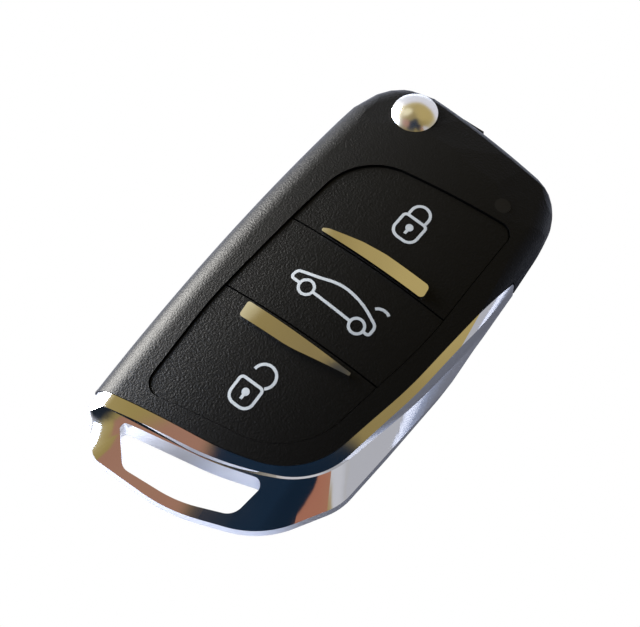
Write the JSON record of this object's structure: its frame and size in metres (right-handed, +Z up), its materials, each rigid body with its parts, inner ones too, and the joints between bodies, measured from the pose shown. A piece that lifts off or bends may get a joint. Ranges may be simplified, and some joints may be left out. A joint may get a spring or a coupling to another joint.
{
  "type": "key fob shell",
  "caption": "Folding car key case with three buttons, a domed release button, a side blade and a bright frame that ends in a key-ring loop.",
  "frame": {"origin": "on the resting plane, under the middle of the key's box", "axes": "+Z up through the buttons, +Y along the key towards the end where the blade swings out, -X the side the blade folds into"},
  "size_m": [0.0407, 0.0764, 0.0167],
  "materials": {
    "black_plastic": "fine matt grain",
    "chrome": "polished plating",
    "button_plastic": "fine grain",
    "white_paint": "satin",
    "silicone": "matt",
    "board": "solder mask",
    "switch_steel": "plain",
    "switch_plastic": "plain",
    "chip_plastic": "plain",
    "can_steel": "plain",
    "ceramic": "plain",
    "led_resin": "clear red",
    "lens_plastic": "smoked",
    "cell_steel": "satin",
    "contact_steel": "plain",
    "hub_metal": "cast, satin",
    "blade_steel": "plated",
    "pin_steel": "plain",
    "spring_steel": "plain",
    "screw_steel": "plain"
  },
  "bodies": {
    "housing": {"front_cover": "black_plastic", "rear_cover": "black_plastic", "chrome_frame": "chrome", "keypad_seal": "silicone", "circuit_board": "board", "tact_switches": "switch_steel", "controller_chip": "chip_plastic", "resonator": "can_steel", "chip_capacitors": "ceramic", "transponder_chip": "chip_plastic", "indicator_led": "led_resin", "indicator_lens": "lens_plastic", "coin_cell": "cell_steel", "battery_clip_positive": "contact_steel", "battery_contact_negative": "contact_steel", "case_screws": "screw_steel"},
    "blade": {"blade_hub": "hub_metal", "key_blade": "blade_steel", "blade_pin": "pin_steel", "flip_spring": "spring_steel"},
    "release": {"release_button": "chrome"},
    "lock_key": {"lock_button": "button_plastic", "lock_symbol": "white_paint", "upper_trim_bar": "chrome", "lock_plunger": "switch_plastic"},
    "trunk_key": {"trunk_button": "button_plastic", "trunk_symbol": "white_paint", "trunk_plunger": "switch_plastic"},
    "unlock_key": {"unlock_button": "button_plastic", "unlock_symbol": "white_paint", "lower_trim_bar": "chrome", "unlock_plunger": "switch_plastic"}
  },
  "joints": [
    {"name": "blade_flip", "type": "hinge", "parent": "housing", "child": "blade", "pos_m": [-0.0082, 0.03235, 0.0046], "axis": [0, 0, -1], "range_deg": [0, 180]},
    {"name": "release_press", "type": "slide", "parent": "blade", "child": "release", "axis": [0, 0, -1], "range_m": [0, 0.002], "stiffness_N_per_m": 600, "springref_m": -0.003, "deforming": ["flip_spring"]},
    {"name": "lock_press", "type": "slide", "parent": "housing", "child": "lock_key", "axis": [0, 0, -1], "range_m": [0, 0.0003], "stiffness_N_per_m": 2000, "springref_m": -0.0005},
    {"name": "trunk_press", "type": "slide", "parent": "housing", "child": "trunk_key", "axis": [0, 0, -1], "range_m": [0, 0.0003], "stiffness_N_per_m": 2000, "springref_m": -0.0005},
    {"name": "unlock_press", "type": "slide", "parent": "housing", "child": "unlock_key", "axis": [0, 0, -1], "range_m": [0, 0.0003], "stiffness_N_per_m": 2000, "springref_m": -0.0005}
  ]
}
